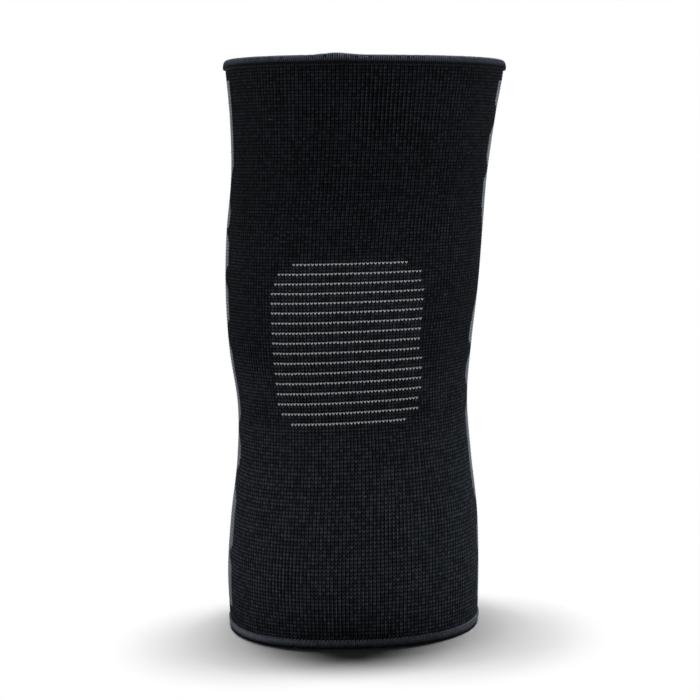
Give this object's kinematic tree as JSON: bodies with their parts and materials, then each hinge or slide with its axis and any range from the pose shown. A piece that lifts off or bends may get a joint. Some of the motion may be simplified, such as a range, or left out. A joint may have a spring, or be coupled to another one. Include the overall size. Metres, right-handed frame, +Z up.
{
  "type": "knee sleeve",
  "caption": "Seamless knitted compression knee sleeve, standing filled out, with overlocked hems, a striped back-of-knee panel and grey side zones.",
  "frame": {"origin": "under the middle of the sleeve's box, on the plane that the calf rim stands on", "axes": "+Z up from the calf rim to the thigh rim, -Y out of the back of the knee, +Y out of the kneecap, +X to the right seen from the back of the knee"},
  "size_m": [0.1444, 0.1308, 0.2727],
  "materials": {
    "knit_black": "matte plain knit of black nylon and elastane, fine columns of V stitches",
    "knit_ribbed": "matte black knit crossed by light grey courses of yarn",
    "knit_grey": "matte mid grey plain knit",
    "hem_thread": "close overlock thread wraps in black, slightly shiny"
  },
  "bodies": {
    "root": {"knit_tube": "knit_black", "knee_back_panel": "knit_ribbed", "side_zone_left": "knit_grey", "side_zone_right": "knit_grey", "top_hem": "hem_thread", "bottom_hem": "hem_thread"}
  },
  "joints": []
}
